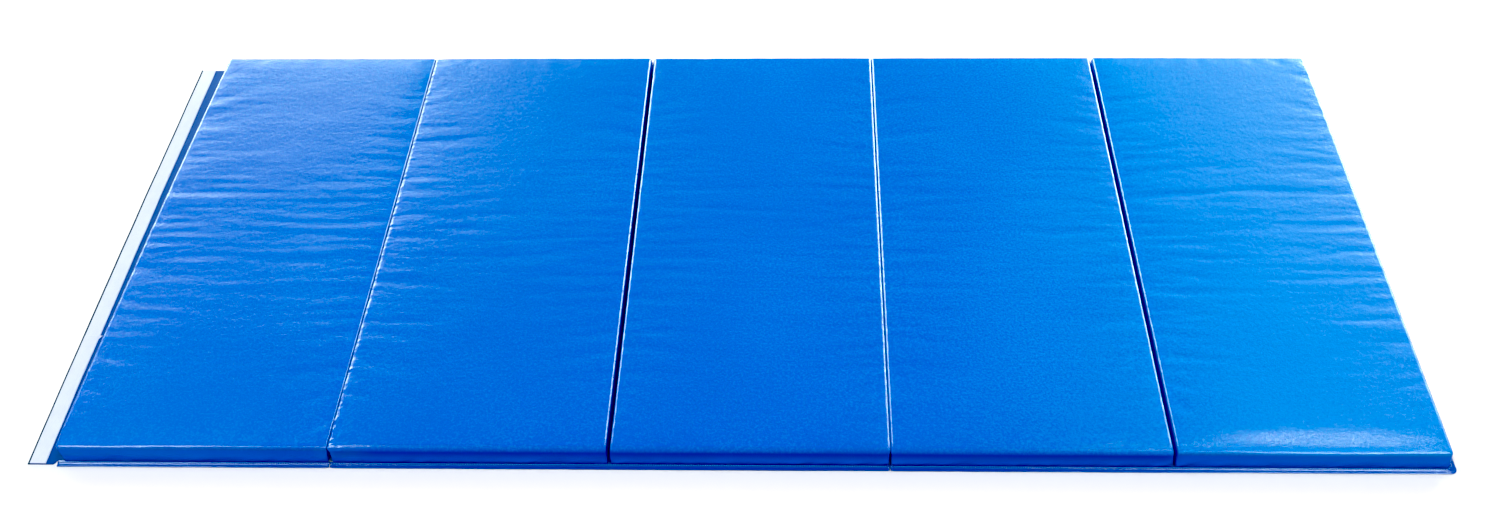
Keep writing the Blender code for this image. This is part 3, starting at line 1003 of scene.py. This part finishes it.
floor_tree = Tree("floor_white")
seen = floor_tree.node("ShaderNodeLightPath").outputs["Is Camera Ray"]
split = floor_tree.node("ShaderNodeSeparateXYZ")
floor_tree.put(floor_tree.place, split.inputs[0])
# painted shadow: the floor darkens in a band along the mat's front edge, from y -0.90 to -0.70
shown_with_painted_shadow = floor_tree.mix(floor_tree.ramp(split.outputs[1], -0.90, -0.77), (1.0, 0.76, 0.70), (0.80, 0.66, 0.64))
shown_with_painted_shadow = floor_tree.mix(floor_tree.ramp(split.outputs[1], -0.765, -0.70), shown_with_painted_shadow, (1.0, 0.76, 0.70))
floor_white = floor_tree.mix(seen, (0.36, 0.36, 0.37), shown_with_painted_shadow)  # it gives back less light than it shows
floor_mat = floor_tree.set(Base_Color=floor_white, Roughness=0.9, Specular_IOR_Level=0.1)
FLOOR_REACH = 40.0
corners = [(x * FLOOR_REACH, y * FLOOR_REACH, -0.2 * MM) for x, y in ((-1, -1), (1, -1), (1, 1), (-1, 1))]
floor = piece("floor", corners, [(0, 1, 2, 3)], floor_mat, False)


WHITE = (1.0, 1.0, 1.0)
PALE = (0.80, 1.0, 1.0)
COLD = (0.66, 0.88, 1.0)
# direction, radius to full strength, radius to nothing (degrees), strength, colour
GLOWS = (
    ((0.0, -0.47, 0.88), 30, 62, 0.40, WHITE),  # the main bank, over the front
    ((-0.53, 0.82, 0.21), 8, 14, 14.0, PALE),  # a softbox low at the rear left
    ((-0.36, 0.83, 0.39), 5, 12, 2.3, PALE),
    ((-0.25, 0.87, 0.42), 2, 5, 7.0, PALE),
    ((0.53, 0.82, 0.21), 9.5, 15.5, 16.0, PALE),  # and one at the rear right
    ((0.32, 0.83, 0.44), 4.5, 11, 2.2, PALE),
    ((-0.42, -0.45, 0.80), 3.5, 6, 30.0, COLD),  # two rows overhead, which catch the front edges
    ((-0.42, -0.20, 0.895), 3.5, 6, 30.0, COLD),
    ((-0.42, 0.05, 0.915), 3.5, 6, 30.0, COLD),
    ((0.33, -0.45, 0.83), 3.5, 6, 30.0, COLD),
    ((0.33, -0.20, 0.923), 3.5, 6, 30.0, COLD),
    ((0.33, 0.05, 0.943), 3.5, 6, 30.0, COLD),
    # and their spill, on the slopes behind those edges
    ((-0.366, 0.53, 0.765), 1.5, 4.5, 6.0, (0.40, 0.90, 1.0)),
    ((0.29, 0.46, 0.84), 1.5, 4.5, 25.0, PALE),
    ((0.0, 0.93, 0.37), 6, 26, 0.95, (0.10, 0.85, 1.0)),  # a cool wash from the rear
)
world = bpy.data.worlds.new("studio")
world.use_nodes = True
bpy.context.scene.world = world
nodes, links = world.node_tree.nodes, world.node_tree.links
background = nodes["Background"]
place = nodes.new("ShaderNodeTexCoord").outputs["Generated"]
height = nodes.new("ShaderNodeSeparateXYZ")
links.new(place, height.inputs[0])
low_band = nodes.new("ShaderNodeMapRange")
low_band.interpolation_type = "SMOOTHSTEP"
links.new(height.outputs[2], low_band.inputs["Value"])
for key, value in zip(RAMP_INPUTS, (0.05, 0.35, 0.8, 0.06)):
    low_band.inputs[key].default_value = value
total = low_band.outputs["Result"]
for way, full, nothing, strength, color in GLOWS:
    dot = nodes.new("ShaderNodeVectorMath")
    dot.operation = "DOT_PRODUCT"
    links.new(place, dot.inputs[0])
    dot.inputs[1].default_value = Vector(way).normalized()
    fade = nodes.new("ShaderNodeMapRange")
    fade.interpolation_type = "SMOOTHSTEP"
    links.new(dot.outputs["Value"], fade.inputs["Value"])
    for key, angle in (("From Min", nothing), ("From Max", full)):
        fade.inputs[key].default_value = math.cos(math.radians(angle))
    tint = nodes.new("ShaderNodeVectorMath")
    tint.operation = "MULTIPLY_ADD"
    links.new(fade.outputs["Result"], tint.inputs[0])
    tint.inputs[1].default_value = [strength * c for c in color]
    links.new(total, tint.inputs[2])
    total = tint.outputs["Vector"]
links.new(total, background.inputs["Color"])
background.inputs["Strength"].default_value = 1.0

camera = bpy.data.objects.new("camera", bpy.data.cameras.new("camera"))
bpy.context.scene.collection.objects.link(camera)
camera.data.sensor_width = 36.0
camera.data.lens = 42.44
pitch, yaw, roll = (math.radians(a) for a in (-40.58, -2.21, -1.32))
ahead = Vector((math.sin(yaw) * math.cos(pitch), math.cos(yaw) * math.cos(pitch), math.sin(pitch)))
right = ahead.cross(Vector((0, 0, 1))).normalized()
up = right.cross(ahead)
right, up = right * math.cos(roll) + up * math.sin(roll), up * math.cos(roll) - right * math.sin(roll)
turned = Matrix((right, up, -ahead)).transposed().to_4x4()
camera.matrix_world = Matrix.Translation((0.115, -3.426, 2.868)) @ turned
camera.data.clip_start = 0.05
camera.data.clip_end = 90.0
bpy.context.scene.camera = camera
bpy.context.scene.view_settings.view_transform = "Standard"
bpy.context.scene.view_settings.look = "None"
bpy.context.scene.view_settings.use_curve_mapping = True
bpy.context.scene.view_settings.curve_mapping.black_level = (0.060, 0.022, 0.0)  # a saturated print
